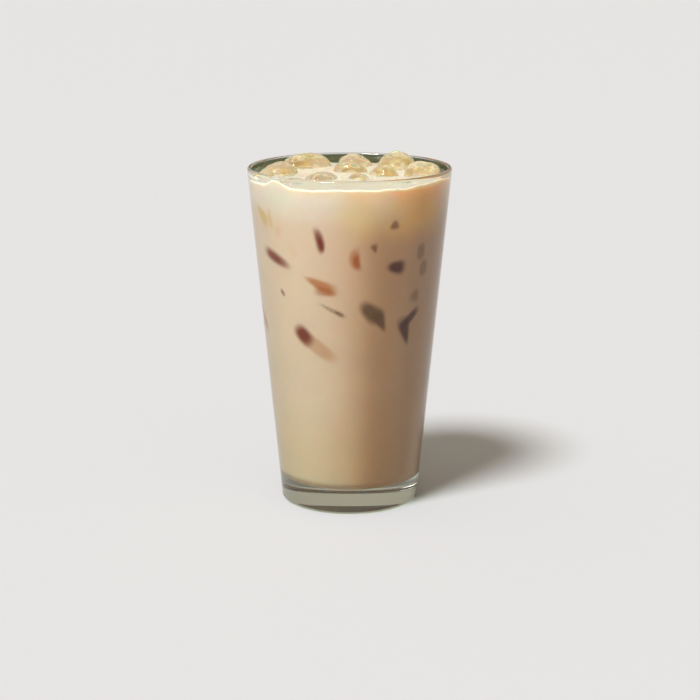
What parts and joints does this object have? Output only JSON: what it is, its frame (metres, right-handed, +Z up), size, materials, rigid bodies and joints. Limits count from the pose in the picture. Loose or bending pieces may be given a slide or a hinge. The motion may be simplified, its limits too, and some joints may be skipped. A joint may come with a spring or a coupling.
{
  "type": "iced chai latte",
  "caption": "Iced milky spiced tea with melting ice cubes, in a plain straight-sided glass that widens from foot to rim.",
  "frame": {"origin": "centre of the glass's foot, on the surface that it stands on", "axes": "+Z up along the glass's axis, -Y towards the front"},
  "size_m": [0.0888, 0.0888, 0.1523],
  "materials": {
    "glass": "clear",
    "drink": "wet, milky",
    "ice": "wet, filmed with milk"
  },
  "bodies": {
    "root": {"glass": "glass", "drink": "drink", "ice_left": "ice", "ice_back_left": "ice", "ice_back": "ice", "ice_back_right": "ice", "ice_right": "ice", "ice_centre": "ice", "ice_middle": "ice", "ice_centre_left": "ice", "ice_centre_right": "ice", "ice_front_left": "ice", "ice_front_right": "ice"}
  },
  "joints": []
}
